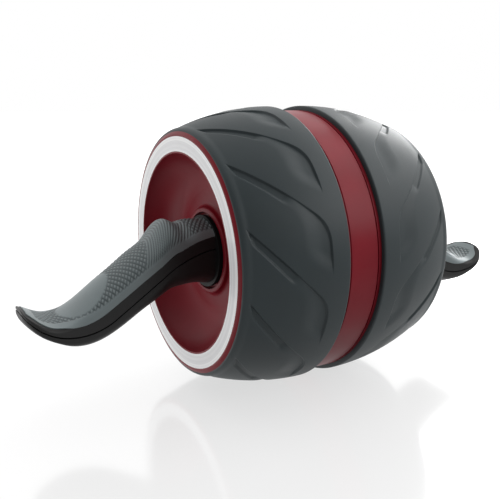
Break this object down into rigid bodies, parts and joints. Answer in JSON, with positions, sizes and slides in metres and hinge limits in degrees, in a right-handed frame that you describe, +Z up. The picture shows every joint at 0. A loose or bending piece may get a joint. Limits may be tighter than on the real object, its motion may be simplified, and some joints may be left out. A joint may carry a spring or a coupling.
{
  "type": "ab wheel roller",
  "caption": "Wide barrel wheel with hooked tread grooves and a dished side, sprung on an axle between two drooping soft grips, for rolling out on the floor.",
  "frame": {"origin": "middle of the axle, at the centre of the wheel", "axes": "+Y along the axle towards the right grip, +X the way the wheel rolls out, +Z up"},
  "size_m": [0.184, 0.363, 0.184],
  "materials": {
    "tread_rubber": "satin",
    "drum_red": "satin gloss",
    "trim_silver": "bright smooth",
    "shell_black": "satin",
    "grip_rubber": "fine cross-hatch, matt",
    "axle_steel": "turned",
    "spring_steel": "blued",
    "fastener_steel": "plated",
    "bush_nylon": "natural",
    "arbor_black": "moulded"
  },
  "bodies": {
    "handles": {"arbor_pin": "axle_steel", "axle": "axle_steel", "left_axle_bolt": "fastener_steel", "left_grip": "grip_rubber", "left_lower_shell": "shell_black", "left_retaining_ring": "spring_steel", "left_root_collar": "shell_black", "left_shell_screws": "fastener_steel", "left_thrust_washer": "bush_nylon", "left_upper_shell": "shell_black", "right_axle_bolt": "fastener_steel", "right_grip": "grip_rubber", "right_lower_shell": "shell_black", "right_retaining_ring": "spring_steel", "right_root_collar": "shell_black", "right_shell_screws": "fastener_steel", "right_thrust_washer": "bush_nylon", "right_upper_shell": "shell_black", "spring_arbor": "arbor_black"},
    "wheel": {"centre_band": "drum_red", "cover_screws": "fastener_steel", "drum_screws": "fastener_steel", "left_drum_half": "drum_red", "left_hub_bush": "bush_nylon", "left_tread": "tread_rubber", "left_trim_ring": "trim_silver", "power_spring": "spring_steel", "right_drum_half": "drum_red", "right_hub_bush": "bush_nylon", "right_tread": "tread_rubber", "right_trim_ring": "trim_silver", "spring_cover": "arbor_black", "spring_cup": "arbor_black"}
  },
  "joints": [
    {"name": "wheel_spin", "type": "hinge", "parent": "handles", "child": "wheel", "pos_m": [0, 0, 0], "axis": [0, 1, 0], "range_deg": [0, 990], "stiffness_Nm_per_rad": 0.5, "deforming": ["power_spring"]}
  ]
}
